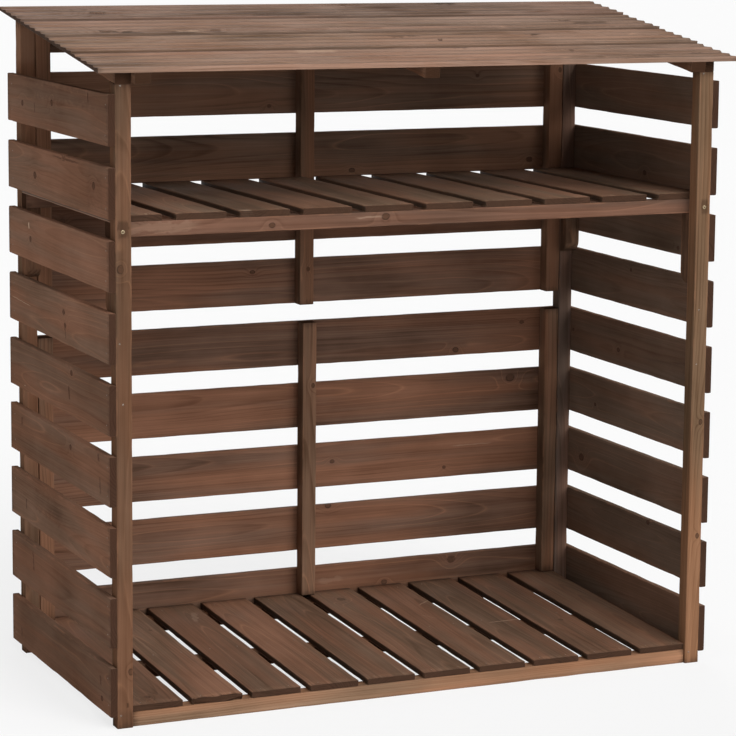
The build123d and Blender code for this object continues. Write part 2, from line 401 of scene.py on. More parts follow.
def knot(g, local, name, wobble):
    """How far a point is from a knot, in knot radii, and the knot's radius (0 where there is none)."""
    x, a, _ = g.split(local)
    kx, ka, radius = g.split(g.vector(name))
    dx = g.calc("DIVIDE", g.sub(x, kx), 1.3)
    da = g.sub(a, ka)
    far = g.calc("SQRT", g.add(g.mul(dx, dx), g.mul(da, da)))
    far = g.calc("DIVIDE", far, g.calc("MAXIMUM", radius, 0.0001))
    return g.add(far, g.mul(g.sub(wobble, 0.5), 0.55)), radius


def mark(g, local, name, wobble):
    """How strongly a scratch, crack, stain or patch of painted light shows at a point, paler above 0 and
    darker below.
    """
    x, a, _ = g.split(local)
    mx, ma, turn = g.split(g.vector("mark_" + name))
    half_length, half_width, depth = g.split(g.vector("size_" + name))
    dx, da = g.sub(x, mx), g.sub(a, ma)
    cos, sin = g.calc("COSINE", turn), g.calc("SINE", turn)
    s = g.add(g.mul(dx, cos), g.mul(da, sin))
    t = g.sub(g.mul(da, cos), g.mul(dx, sin))
    t = g.add(t, g.mul(g.sub(wobble, 0.5), half_width, 2.5))
    s = g.calc("DIVIDE", g.calc("ABSOLUTE", s), g.calc("MAXIMUM", half_length, 0.0001))
    t = g.calc("DIVIDE", g.calc("ABSOLUTE", t), g.calc("MAXIMUM", half_width, 0.0001))
    inside = g.mul(g.band(s, 1.0, 0.6), g.band(t, 1.0, 0.45))
    return g.mul(inside, depth)


class Grain:
    """Patterns that several layers of a wood material read: knots, rings, fibres and uneven stain."""

    def __init__(self, g):
        self.place, self.local = g.vector("grain"), g.vector("local")
        self.wobble = g.noise(g.stretch(self.place, 70, 140, 140), 2.0)
        self.find_knots(g)
        self.find_rings(g)
        self.fibre = g.noise(g.stretch(self.place, 12, 720, 720), 2.0, 0.6)
        self.fleck = g.noise(g.stretch(self.place, 5.0, 300, 300), 2.0, 0.6)
        self.streak = g.noise(g.stretch(self.place, 2.0, 120, 120), 3.0, 0.55)
        self.broad = g.noise(g.stretch(self.place, 1.6, 26, 26), 2.0, 0.5)
        self.patch = g.noise(g.stretch(self.place, 7, 13, 13), 3.0, 0.55)
        self.cloud = g.noise(g.stretch(self.place, 3.2, 5, 5), 1.0)
        self.grit = g.noise(g.stretch(self.place, 1100, 1100, 1100), 1.0)

    def find_knots(self, g):
        """Each knot's core, its dark rim, its own rings, and how far it pushes the growth rings aside."""
        self.push, self.core, self.rim, self.eye = 0.0, 0.0, 0.0, 0.0
        for name in Timber.KNOTS:
            far, radius = knot(g, self.local, "knot_" + name, self.wobble)
            real = g.calc("GREATER_THAN", radius, 0.0005)
            fading = g.calc("EXPONENT", g.mul(far, far, -0.13))
            self.push = g.add(self.push, g.mul(fading, radius, real, 1.9))
            inside = g.mul(g.band(far, 1.0, 0.82), real)
            self.core = g.calc("MAXIMUM", self.core, inside)
            rim = g.mul(g.band(far, 0.7, 0.95), g.band(far, 1.3, 1.02), real)
            self.rim = g.calc("MAXIMUM", self.rim, rim)
            self.eye = g.add(self.eye, g.mul(g.calc("SINE", g.mul(far, 19.0)), inside))

    def find_rings(self, g):
        """Dark late wood and the pale line beside it: a cone of rings about a pith that drifts."""
        along, across, through = g.split(self.place)
        sway = g.noise(g.stretch(self.place, 1.3, 6, 6), 1.0)
        ripple = g.noise(g.stretch(self.place, 7, 30, 30), 1.0)
        radius = g.calc("SQRT", g.add(g.mul(across, across), g.mul(through, through)))
        radius = g.add(radius, g.mul(along, 0.013), g.mul(sway, 0.05), g.mul(ripple, 0.0028), self.push)
        uneven = g.noise(g.stretch(g.join(radius, 0.0, 0.0), 60, 1, 1), 1.0)
        phase = g.calc("FRACT", g.add(g.calc("DIVIDE", radius, RING_STEP), g.mul(uneven, 2.6)))
        here = g.noise(g.stretch(self.place, 2.6, 17, 17), 2.0)
        dark = g.curve(phase, (0.0, 0.0), (0.5, 0.05), (0.82, 1.0), (0.92, 0.75), (0.97, 0.0))
        self.late = g.mul(dark, g.band(here, 0.35, 0.68, 0.18, 1.0))
        pale = g.curve(phase, (0.0, 0.35), (0.09, 0.0), (0.86, 0.0), (0.95, 1.0), (1.0, 0.35))
        self.line = g.mul(pale, g.band(here, 0.62, 0.36, 0.1, 1.0))


def stained(g, grain, base, red, ring, blotch, flecks, streaks):
    """Stain over the grain: between two hues, and uneven in depth."""
    level = g.add(1.0, g.mul(g.sub(grain.fibre, 0.5), 0.30), g.mul(g.sub(grain.streak, 0.5), streaks))
    level = g.add(level, g.mul(g.sub(grain.broad, 0.5), streaks))
    level = g.add(level, g.mul(g.sub(grain.patch, 0.5), 0.55 * blotch))
    level = g.add(level, g.mul(g.sub(grain.cloud, 0.5), 0.8 * blotch))
    level = g.add(level, g.mul(grain.late, -0.26 * ring), g.mul(grain.line, 0.22 * ring))
    level = g.add(level, g.mul(g.sub(grain.fleck, 0.5), flecks))
    level = g.calc("MAXIMUM", level, 0.15)
    hue = g.add(g.mul(grain.broad, 0.6), g.mul(grain.cloud, 0.4))
    colour = g.mix(g.band(hue, 0.40, 0.60), base, red)
    colour = g.mix(g.mul(grain.line, 0.35), colour, (red[0] * 1.5, red[1] * 1.45, red[2] * 1.3))
    tint = g.join(level, g.calc("POWER", level, 1.12), g.calc("POWER", level, 1.25))
    colour = g.mix(1.0, colour, tint, "MULTIPLY")
    return g.mix(1.0, colour, g.vector("tone"), "MULTIPLY")


def with_weather(g, grain, colour, weather, grey):
    """Greyed by weather, the soft wood first."""
    soft = g.sub(1.0, g.mul(grain.late, 0.5))
    faded = g.mul(g.band(grain.patch, 0.35, 0.68, 0.3, 1.0), soft, weather)
    return g.mix(faded, colour, grey)


def with_knots(g, grain, colour, base, red):
    """Knots with rings of their own and a dark rim that is broken in places."""
    inside = g.mix(g.band(grain.eye, -0.7, 0.9), scaled(base, 0.30), scaled(red, 0.72))
    colour = g.mix(g.mul(grain.core, 0.76), colour, inside)
    rim = g.mul(grain.rim, g.band(grain.streak, 0.4, 0.6, 0.3, 0.85))
    return g.mix(rim, colour, scaled(base, 0.22))


def with_marks(g, scars_and_painted_light, colour, base):
    """Pale scratches down to the fresh wood and pale patches of painted light, and dark cracks and stains."""
    # Pale: fresh wood in scratches, and painted light in a lit patch.
    colour = g.mix(g.calc("MAXIMUM", scars_and_painted_light, 0.0), colour, (0.42, 0.30, 0.215))
    return g.mix(g.calc("MAXIMUM", g.mul(scars_and_painted_light, -1.0), 0.0), colour, scaled(base, 0.16))


def with_ends(g, grain, colour, end, end_gap, base, red):
    """Stain gathers near the cut ends, and the ends themselves are dark and show the rings as arcs."""
    soak = g.add(end_gap, g.mul(g.sub(grain.streak, 0.5), 0.03))
    colour = g.mix(g.band(soak, 0.012, 0.0, 0.0, 0.45), colour, scaled(base, 0.42))
    cut = g.mix(g.mul(grain.late, 0.8), scaled(red, 0.28), scaled(red, 0.13))
    cut = g.mix(g.band(grain.grit, 0.45, 0.7, 0.0, 0.5), cut, scaled(red, 0.17))
    return g.mix(g.mul(end, 0.9), colour, cut)


def wood_relief(g, grain, scars_and_painted_light):
    """Fine relief of the grain, with cracks sunk in."""
    relief = g.add(g.mul(grain.late, 0.5), g.mul(grain.fibre, 0.42), g.mul(grain.streak, 0.4))
    relief = g.add(relief, g.mul(grain.grit, 0.12), g.mul(grain.rim, -0.6))
    relief = g.add(relief, g.mul(g.calc("MINIMUM", scars_and_painted_light, 0.0), 1.6))
    return g.node("Bump", {"Strength": 0.5, "Distance": 0.0005, "Height": relief}).outputs[0]


def wood(name, base, red, ring=1.0, blotch=1.0, weather=0.0, grey=(0.1, 0.1, 0.1), rough=0.5, painted_gap_shade=0.0,
         rubbed=0.4, flecks=0.35, streaks=0.75, gloss=0.03):
    """Brown stained softwood, cut from a log: growth rings that show as arches and lines on the faces
    and as arcs on the cut ends, fibres, knots that the rings run round, and an uneven stain."""
    g = Graph(name)
    grain = Grain(g)
    wear_and_shade, end = g.value("wear"), g.value("end")
    end_gap, side_gap, face_gap = g.split(g.vector("edge"))
    scars_and_painted_light = g.add(*[mark(g, grain.local, letter, grain.wobble) for letter in Timber.MARKS])

    colour = stained(g, grain, base, red, ring, blotch, flecks, streaks)
    if weather:
        colour = with_weather(g, grain, colour, weather, grey)
    colour = with_knots(g, grain, colour, base, red)
    colour = with_marks(g, scars_and_painted_light, colour, base)
    scuffed = g.band(g.noise(g.stretch(grain.place, 30, 90, 90), 2.0), 0.46, 0.66)
    rub = g.mul(g.calc("MAXIMUM", wear_and_shade, 0.0), scuffed)
    colour = g.mix(g.mul(rub, rubbed), colour, (red[0] * 1.7, red[1] * 1.75, red[2] * 1.75))
    colour = with_ends(g, grain, colour, end, end_gap, base, red)
    # Painted shade where the wear value is below 0: the feet of the roof's risers, its joints and covered
    # front faces, broken up by the streaks.
    painted_shade = g.mul(g.calc("MAXIMUM", g.mul(wear_and_shade, -1.0), 0.0), g.band(grain.streak, 0.38, 0.62, 0.3, 1.0))
    colour = g.mix(g.mul(painted_shade, 0.75), colour, scaled(red, 0.3))
    # Painted shade on the boards' narrow sides, down in the gaps between them.
    if painted_gap_shade:
        side = g.mul(g.band(side_gap, 0.0008, 0.0002), g.band(face_gap, 0.0006, 0.003))
        colour = g.mix(g.mul(side, painted_gap_shade), colour, scaled(base, 0.2))

    rough = g.add(rough, g.mul(g.sub(grain.streak, 0.5), 0.25), g.mul(grain.late, -0.05))
    rough = g.add(rough, g.mul(end, 0.2), g.mul(rub, 0.08))
    return g.surface(colour=colour, rough=rough, normal=wood_relief(g, grain, scars_and_painted_light), gloss=gloss)


def nail_steel():
    """Brown, stained nail heads with some of the steel showing."""
    g = Graph("nail_steel")
    spot = g.noise(g.stretch(g.node("NewGeometry").outputs["Position"], 900, 900, 900), 2.0)
    colour = g.mix(g.band(spot, 0.40, 0.66), (0.035, 0.020, 0.013), (0.34, 0.29, 0.25))
    rough = g.band(spot, 0.3, 0.7, 0.75, 0.42)
    return g.surface(colour=colour, rough=rough, metal=0.5, gloss=0.3)


def screw_brass():
    """Yellow plating, near black down in its recess."""
    g = Graph("screw_brass")
    spot = g.noise(g.stretch(g.node("NewGeometry").outputs["Position"], 1300, 1300, 1300), 2.0)
    depth = g.value("depth")
    colour = g.mix(g.band(spot, 0.35, 0.7), (0.17, 0.125, 0.07), (0.42, 0.34, 0.22))
    # Darker the deeper a point lies, so the cross recess is near black.
    colour = g.mix(g.band(depth, 0.25, 0.75), colour, (0.04, 0.027, 0.018))
    return g.surface(colour=colour, rough=g.band(spot, 0.3, 0.7, 0.5, 0.28), metal=0.8, gloss=0.4)


FRAME_WOOD = wood("frame_wood", (0.113, 0.067, 0.044), (0.124, 0.059, 0.034), gloss=0.0)
SIDE_WOOD = wood("side_wood", (0.146, 0.085, 0.059), (0.150, 0.073, 0.046), ring=0.5, blotch=1.2, flecks=0.15,
                 streaks=0.35, gloss=0.0)
BACK_WOOD = wood("back_wood", (0.116, 0.066, 0.045), (0.128, 0.059, 0.034), blotch=1.4)
# Floor and shelf boards, with painted shade on their narrow sides in the gaps.
BOARD_WOOD = wood("board_wood", (0.145, 0.088, 0.058), (0.153, 0.076, 0.046), painted_gap_shade=0.75, flecks=0.5)
ROOF_WOOD = wood("roof_wood", (0.190, 0.123, 0.088), (0.193, 0.110, 0.075), blotch=1.3, weather=0.35,
                 grey=(0.200, 0.151, 0.125), rough=0.55, rubbed=0.5, flecks=1.05, streaks=0.95)
NAIL_STEEL = nail_steel()
SCREW_BRASS = screw_brass()


# ---------------------------------------------------------------- the log store
def middle(node):
    """Middle and size of a CAD node's box."""
    low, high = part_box(node)
    return (low + high) / 2, high - low


def begin(node, seed):
    """The visual piece of a CAD node, still empty, and the middle and size of the node's box."""
    return Timber(node + "_timber", seed), *middle(node)


def spread(low, high, count):
    """Evenly spaced places from low to high."""
    return [low + (high - low) * i / (count - 1) for i in range(count)]


def some_knots(rng, length, w, chance=0.4):
    """Up to two small knots at random places: along, across and radius."""
    found = []
    for _ in range(2):
        along, across = rng.uniform(-0.46, 0.46) * length, rng.uniform(-0.4, 0.4) * w
        found.append((along, across, rng.uniform(0.0022, 0.0048)))
    return [k for k in found if rng.random() < chance]


def flaw_or_painted_light(x, a, half_length, half_width, tone, turn=0.0):
    """A mark on the wood, or a patch of painted light: its middle, its half sizes, how much paler or darker
    it is, and its turn.
    """
    return (x, a, turn), (half_length, half_width, tone)


def make_posts():
    """Posts, with tops cut to the slope of the rails on them."""
    tones = {
        "front_left": (0.80, 0.82, 0.80),
        "front_right": (1.23, 1.27, 1.16),
        # The back left post's raised tone is painted light under the roof.
        "back_left": (1.18, 1.18, 1.16),
        "back_right": (1.08, 1.28, 1.54),
    }
    knots = {
        "front_left": [(0.236, -0.006, 0.0052), (-0.445, 0.010, 0.0042)],
        "front_right": [(-0.093, 0.006, 0.0034), (-0.304, 0.005, 0.0034)],
    }
    marks = {
        # The last front left mark darkens the foot of the post.
        "front_left": [flaw_or_painted_light(0.302, -0.001, 0.017, 0.010, -0.45), flaw_or_painted_light(-0.502, 0.004, 0.005, 0.003, -0.5),
                       flaw_or_painted_light(-0.545, 0.0, 0.04, 0.03, -0.3)],
        "front_right": [flaw_or_painted_light(0.299, 0.003, 0.016, 0.009, -0.4)],
        # The back left post's pale patch at its top is painted light under the roof.
        "back_left": [flaw_or_painted_light(0.548, 0.0, 0.05, 0.05, 0.10)],
    }
    slope = math.tan(ROOF_SLOPE)
    for seed, (place, tone) in enumerate(tones.items(), 100):
        node = "post_" + place
        timber, c, d = begin(node, seed)
        length = d.z - slope * d.y / 2
        timber.add(Vector((c.x, c.y, length / 2)), Z, X, (length, d.x, d.y), cut=((0, 0), (0, slope)),
                   knots=knots.get(place) or some_knots(timber.rng, length, d.x),
                   marks=marks.get(place, ()), tone=tone)
        timber.build(FRAME_WOOD, "frame_wood", node)


def make_side_boards():
    """Side boards, counted from the ground. Each place is back from the middle, then up from it."""
    knots = {
        ("left", 8): [(0.020, 0.007, 0.0048), (0.190, -0.005, 0.0045)],
        ("left", 7): [(0.119, -0.007, 0.0055), (-0.204, 0.006, 0.0055)],
        ("left", 5): [(-0.039, 0.012, 0.0050), (-0.046, -0.010, 0.0045)],
        ("right", 2): [(0.186, -0.007, 0.0065)],
        ("right", 1): [(-0.082, 0.038, 0.0040)],
    }
    marks = {
        ("left", 8): [flaw_or_painted_light(-0.177, 0.030, 0.010, 0.0028, -0.5, 1.5), flaw_or_painted_light(-0.04, 0.026, 0.22, 0.017, -0.16),
                      flaw_or_painted_light(0.118, -0.008, 0.010, 0.003, -0.35, 1.5)],
        ("left", 7): [flaw_or_painted_light(-0.055, 0.0365, 0.085, 0.0022, -0.42), flaw_or_painted_light(-0.21, -0.002, 0.05, 0.03, -0.12)],
        ("left", 6): [flaw_or_painted_light(0.158, 0.020, 0.0065, 0.0028, 1.0, 1.45)],
        ("left", 5): [flaw_or_painted_light(0.208, -0.002, 0.064, 0.0010, 0.4, 0.03),
                      flaw_or_painted_light(-0.048, -0.023, 0.012, 0.0036, -0.42, 1.4)],
        ("left", 4): [flaw_or_painted_light(-0.066, -0.004, 0.014, 0.0042, -0.5, 1.35),
                      flaw_or_painted_light(0.190, -0.033, 0.0022, 0.0018, 0.8)],
        ("left", 3): [flaw_or_painted_light(-0.222, 0.032, 0.008, 0.005, -0.4, 1.5),
                      flaw_or_painted_light(-0.230, -0.015, 0.017, 0.0045, -0.35, 1.5),
                      flaw_or_painted_light(0.210, 0.019, 0.008, 0.006, -0.35, 1.5)],
        ("left", 2): [flaw_or_painted_light(0.06, 0.01, 0.10, 0.022, -0.14), flaw_or_painted_light(0.188, -0.010, 0.011, 0.004, -0.45, 1.5)],
        ("left", 1): [flaw_or_painted_light(0.148, 0.012, 0.020, 0.0044, -0.38, 1.45)],
        ("left", 0): [flaw_or_painted_light(0.223, -0.018, 0.010, 0.005, -0.3, 1.5),
                      flaw_or_painted_light(-0.227, 0.010, 0.010, 0.005, -0.35, 1.5)],
    }
    nicks = {("left", 7): [(-0.042, 1, 0, 0.010, 0.006)]}
    # The right boards' greyer, bluer tone is a painted sheen on their inner faces.
    tones = {"left": (1.02, 1.04, 1.02), "right": (0.89, 1.03, 1.07)}
    for seed, side in enumerate(("left", "right"), 200):
        node = "side_boards_" + side
        timber, c, d = begin(node, seed)
        low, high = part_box(node)
        for row, z in enumerate(spread(low.z + SLAT_H / 2, high.z - SLAT_H / 2, SIDE_ROWS)):
            here = (side, row)
            timber.add(Vector((c.x, c.y, z)), Y, Z, (d.y, SLAT_H, SLAT_T), tone=tones[side],
                       marks=marks.get(here, ()), nicks=nicks.get(here, ()),
                       knots=knots.get(here) or some_knots(timber.rng, d.y, SLAT_H))
        timber.build(SIDE_WOOD, "cladding_wood", node)


def make_back_boards():
    """Back boards, counted from the ground; the top one reaches up to the top of the upper panel."""
    knots = {
        0: [(0.318, 0.031, 0.0065), (0.174, -0.002, 0.0042)],
        1: [(0.054, 0.040, 0.0045)],
        2: [(0.062, 0.006, 0.0034), (0.300, -0.023, 0.0030)],
        3: [(0.442, 0.026, 0.0065)],
    }
    marks = {0: [flaw_or_painted_light(0.06, 0.012, 0.03, 0.006, 0.10)], 2: [flaw_or_painted_light(0.36, 0.018, 0.05, 0.0016, 0.22)]}
    for seed, level in enumerate(("lower", "upper"), 300):
        node = "back_boards_" + level
        timber, c, d = begin(node, seed)
        low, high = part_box(node)
        upper = level == "upper"
        for row in range(PANEL_ROWS):
            bottom = low.z + SLAT_PITCH * row
            if upper and row == LOOSE_ROW:
                bottom -= LOOSE_DROP
            top = high.z if upper and row == PANEL_ROWS - 1 else bottom + SLAT_H
            here = row + PANEL_ROWS if upper else row
            tone = (1.05, 1.15, 1.18) if upper and row > 1 else (1, 1, 1)
            timber.add(Vector((c.x, c.y, (bottom + top) / 2)), X, Z, (d.x, top - bottom, SLAT_T), tone=tone,
                       knots=knots.get(here) or some_knots(timber.rng, d.x, SLAT_H, 0.7),
                       marks=marks.get(here, ()))
        timber.build(BACK_WOOD, "cladding_wood", node)


def make_battens():
    """Upright battens in front of the two panels of the back."""
    seed = 400
    for level in ("lower", "upper"):
        for place in ("left", "middle", "right"):
            node = f"back_batten_{level}_{place}"
            timber, c, d = begin(node, seed)
            timber.add(c, Z, X, (d.z, d.x, d.y), tone=(1.24, 1.26, 1.26),
                       knots=some_knots(timber.rng, d.z, d.x, 0.3))
            timber.build(FRAME_WOOD, "frame_wood", node)
            seed += 1


def make_top_rails():
    """Sloping rails on the posts, with their ends cut plumb."""
    plumb = (0, -math.tan(ROOF_SLOPE))
    for seed, side in enumerate(("left", "right"), 500):
        node = "top_rail_" + side
        timber, c, d = begin(node, seed)
        timber.add(c, UP_ROOF, X, (d.y / math.cos(ROOF_SLOPE), d.x, RAFTER_H), cut=(plumb, plumb))
        timber.build(FRAME_WOOD, "frame_wood", node)


def make_roof_battens():
    """Battens under the roof boards, running up the slope."""
    for seed, place in enumerate(("left", "middle", "right"), 510):
        node = "roof_batten_" + place
        timber, c, d = begin(node, seed)
        length = (d.y - ROOF_BATTEN_H * math.sin(ROOF_SLOPE)) / math.cos(ROOF_SLOPE)
        timber.add(c, UP_ROOF, X, (length, d.x, ROOF_BATTEN_H))
        timber.build(FRAME_WOOD, "frame_wood", node)


def make_roof_boards():
    """Stepped roof boards, front first. Each place is right of the middle, then up the slope from it."""
    knots = {
        1: [(0.310, 0.020, 0.0032)],
        2: [(0.105, -0.012, 0.0030)],
        3: [(-0.480, -0.040, 0.0080), (-0.278, -0.047, 0.0065)],
        4: [(-0.437, -0.015, 0.0105), (0.066, 0.055, 0.0065)],
    }
    marks = {
        1: [flaw_or_painted_light(-0.415, 0.008, 0.020, 0.004, 0.32), flaw_or_painted_light(-0.166, 0.052, 0.045, 0.007, 0.32),
            flaw_or_painted_light(0.541, -0.020, 0.016, 0.007, -0.6), flaw_or_painted_light(0.10, 0.060, 0.035, 0.009, -0.6)],
        2: [flaw_or_painted_light(-0.160, 0.032, 0.024, 0.009, -0.85), flaw_or_painted_light(0.309, 0.025, 0.022, 0.006, -0.7),
            flaw_or_painted_light(0.045, 0.024, 0.045, 0.006, -0.6), flaw_or_painted_light(-0.30, -0.030, 0.05, 0.006, 0.2)],
        3: [flaw_or_painted_light(0.428, 0.013, 0.040, 0.0050, -0.6), flaw_or_painted_light(0.478, -0.015, 0.044, 0.0050, -0.5),
            flaw_or_painted_light(-0.325, -0.047, 0.030, 0.006, 0.35), flaw_or_painted_light(-0.460, -0.052, 0.05, 0.008, -0.75)],
        4: [flaw_or_painted_light(0.275, 0.052, 0.026, 0.006, -0.65), flaw_or_painted_light(0.52, -0.025, 0.03, 0.009, -0.5),
            flaw_or_painted_light(-0.385, -0.030, 0.06, 0.007, 0.15), flaw_or_painted_light(-0.10, -0.045, 0.06, 0.006, -0.4)],
    }
    tones = {1: (1.04, 1.0, 0.97), 2: (1.06, 1.04, 0.98), 3: (0.97, 0.98, 0.98), 4: (0.93, 0.93, 0.96)}
    for number in range(1, ROOF_BOARDS + 1):
        node = f"roof_board_{number}"
        low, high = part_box(node)
        centre = roof_board_corner(number) + UP_ROOF * ROOF_BOARD_W / 2 + OFF_ROOF * ROOF_T / 2
        outline = stepped_outline(ROOF_BOARD_W, ROOF_T, number > 1)
        timber = Timber(node + "_timber", 520 + number)
        timber.add(centre, X, UP_ROOF, (high.x - low.x, ROOF_BOARD_W, ROOF_T), outline=outline, wear=0.5,
                   knots=knots[number], marks=marks[number], tone=tones[number], step=0.012)
        timber.build(ROOF_WOOD, "roof_wood", node)


def roof_board_corner(number):
    """Middle of the lower front edge of a roof board."""
    low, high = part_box(f"roof_board_{number}")
    return Vector(((low.x + high.x) / 2, low.y + ROOF_T * math.sin(ROOF_SLOPE), low.z))


def make_floor_rails():
    """Rails under the floor boards. Each place is right of the middle, then up from it."""
    tones = {"front": (1.74, 1.83, 1.76), "middle": (1, 1, 1), "back": (1, 1, 1)}
    marks = {"front": [flaw_or_painted_light(-0.055, -0.003, 0.012, 0.004, 0.16), flaw_or_painted_light(0.21, 0.004, 0.06, 0.003, -0.15)]}
    for seed, (place, tone) in enumerate(tones.items(), 600):
        node = "floor_rail_" + place
        timber, c, d = begin(node, seed)
        timber.add(c, X, UP_FLOOR, (d.x, RAIL_D, RAIL_H), tone=tone, marks=marks.get(place, ()),
                   knots=some_knots(timber.rng, d.x, RAIL_H, 0.2))
        timber.build(FRAME_WOOD, "frame_wood", node)


def make_floor_boards():
    """Floor boards from the left. Each place is back from the middle, then to the right of it."""
    knots = {
        0: [(-0.234, -0.006, 0.0042)],
        1: [(0.13, 0.02, 0.0030)],
        5: [(0.201, -0.002, 0.0065)],
        8: [(-0.06, 0.01, 0.0040)],
    }
    marks = {
        1: [flaw_or_painted_light(-0.02, 0.01, 0.12, 0.0012, -0.35, 0.02), flaw_or_painted_light(0.05, -0.02, 0.09, 0.0016, 0.16, -0.03)],
        2: [flaw_or_painted_light(0.182, 0.018, 0.035, 0.007, 0.16, 0.3), flaw_or_painted_light(-0.10, -0.008, 0.15, 0.0012, 0.14, 0.02)],
        6: [flaw_or_painted_light(0.128, 0.03, 0.024, 0.0014, 0.45, 0.9), flaw_or_painted_light(0.04, 0.0, 0.02, 0.001, 0.2, -0.6)],
        7: [flaw_or_painted_light(-0.031, 0.012, 0.034, 0.0018, 0.55, 1.55)],
    }
    splintered = 1
    timber, c, d = begin("floor_boards", 610)
    low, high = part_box("floor_boards")
    length = (d.y - DECK_T * math.sin(FLOOR_TILT)) / math.cos(FLOOR_TILT)
    for number, x in enumerate(spread(low.x + DECK_W / 2, high.x - DECK_W / 2, DECK_BOARDS)):
        timber.add(Vector((x, c.y, c.z)), UP_FLOOR, X, (length, DECK_W, DECK_T), ease=DECK_EASE,
                   knots=knots.get(number, ()), marks=marks.get(number, ()),
                   ragged=0.010 if number == splintered else 0.002)
    timber.build(BOARD_WOOD, "board_wood", "floor_boards")


def make_shelf_rails():
    """Rails under the shelf boards. Each place is right of the middle, then up from it."""
    knots = {
        "front": [(-0.274, -0.003, 0.0040), (-0.064, 0.004, 0.0052)],
        "back": [(-0.300, 0.002, 0.0060)],
    }
    marks = {"front": [flaw_or_painted_light(-0.470, 0.002, 0.075, 0.010, 0.12), flaw_or_painted_light(-0.095, 0.004, 0.028, 0.0022, 0.24)]}
    for seed, place in enumerate(("front", "back"), 700):
        node = "shelf_rail_" + place
        timber, c, d = begin(node, seed)
        timber.add(c, X, Z, (d.x, d.z, d.y), tone=(0.90, 0.94, 1.05), knots=knots[place],
                   marks=marks.get(place, ()))
        timber.build(FRAME_WOOD, "frame_wood", node)


def make_shelf_boards():
    """Shelf boards from the left. Each place is back from the middle, then to the right of it."""
    marks = {
        0: [flaw_or_painted_light(-0.236, 0.02, 0.012, 0.003, 0.55, 0.3), flaw_or_painted_light(-0.232, -0.012, 0.010, 0.0022, 0.5, -0.4)],
        2: [flaw_or_painted_light(-0.242, -0.034, 0.010, 0.012, 0.45)],
        8: [flaw_or_painted_light(-0.235, -0.020, 0.008, 0.004, 0.35)],
    }
    timber, c, d = begin("shelf_boards", 710)
    low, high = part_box("shelf_boards")
    for number, x in enumerate(spread(low.x + SHELF_W / 2, high.x - SHELF_W / 2, DECK_BOARDS)):
        timber.add(Vector((x, c.y, c.z)), Y, X, (d.y, SHELF_W, DECK_T), ease=DECK_EASE, ragged=0.0015,
                   tone=(1.16, 1.23, 1.26), knots=some_knots(timber.rng, d.y, SHELF_W),
                   marks=marks.get(number, ()))
    timber.build(BOARD_WOOD, "board_wood", "shelf_boards")


def make_shelf_blocks():
    """Blocks under the shelf rails, each with its lower inner corner rounded."""
    seed = 720
    for side in ("left", "right"):
        for place in ("front", "back"):
            node = f"shelf_block_{place}_{side}"
            timber, c, d = begin(node, seed)
            timber.add(c, X, Y, (d.x, d.y, d.z), outline=block_outline(d.y / 2, d.z / 2, place), wear=0.5)
            stand_grain_up(timber, d, seed)
            timber.build(FRAME_WOOD, "frame_wood", node)
            seed += 1


def block_outline(hw, ht, place):
    """Outline of a shelf block seen from its side; a front block is rounded at the back."""
    ease, nose = (BLOCK_EASE, 3), (BLOCK_NOSE_R, 10)
    (left_r, left_steps), (right_r, right_steps) = (ease, nose) if place == "front" else (nose, ease)
    outline = corner(hw - BLOCK_EASE, ht - BLOCK_EASE, BLOCK_EASE, 0)
    outline += corner(BLOCK_EASE - hw, ht - BLOCK_EASE, BLOCK_EASE, 90)
    outline += corner(left_r - hw, left_r - ht, left_r, 180, left_steps)
    return outline + corner(hw - right_r, right_r - ht, right_r, 270, right_steps)


def stand_grain_up(timber, size, seed):
    """Turns a block's grain upright, because its outline is drawn from the side."""
    local = timber.data["local"]
    hx, hy, hz = size / 2
    timber.data["grain"] = [(z + seed, x + 0.01, y + 0.04) for x, y, z in local]
    timber.data["end"] = [1.0 if abs(z) > hz - 0.0004 else 0.0 for x, y, z in local]
    timber.data["edge"] = [(hz - abs(z), hy - abs(y), hx - abs(x)) for x, y, z in local]


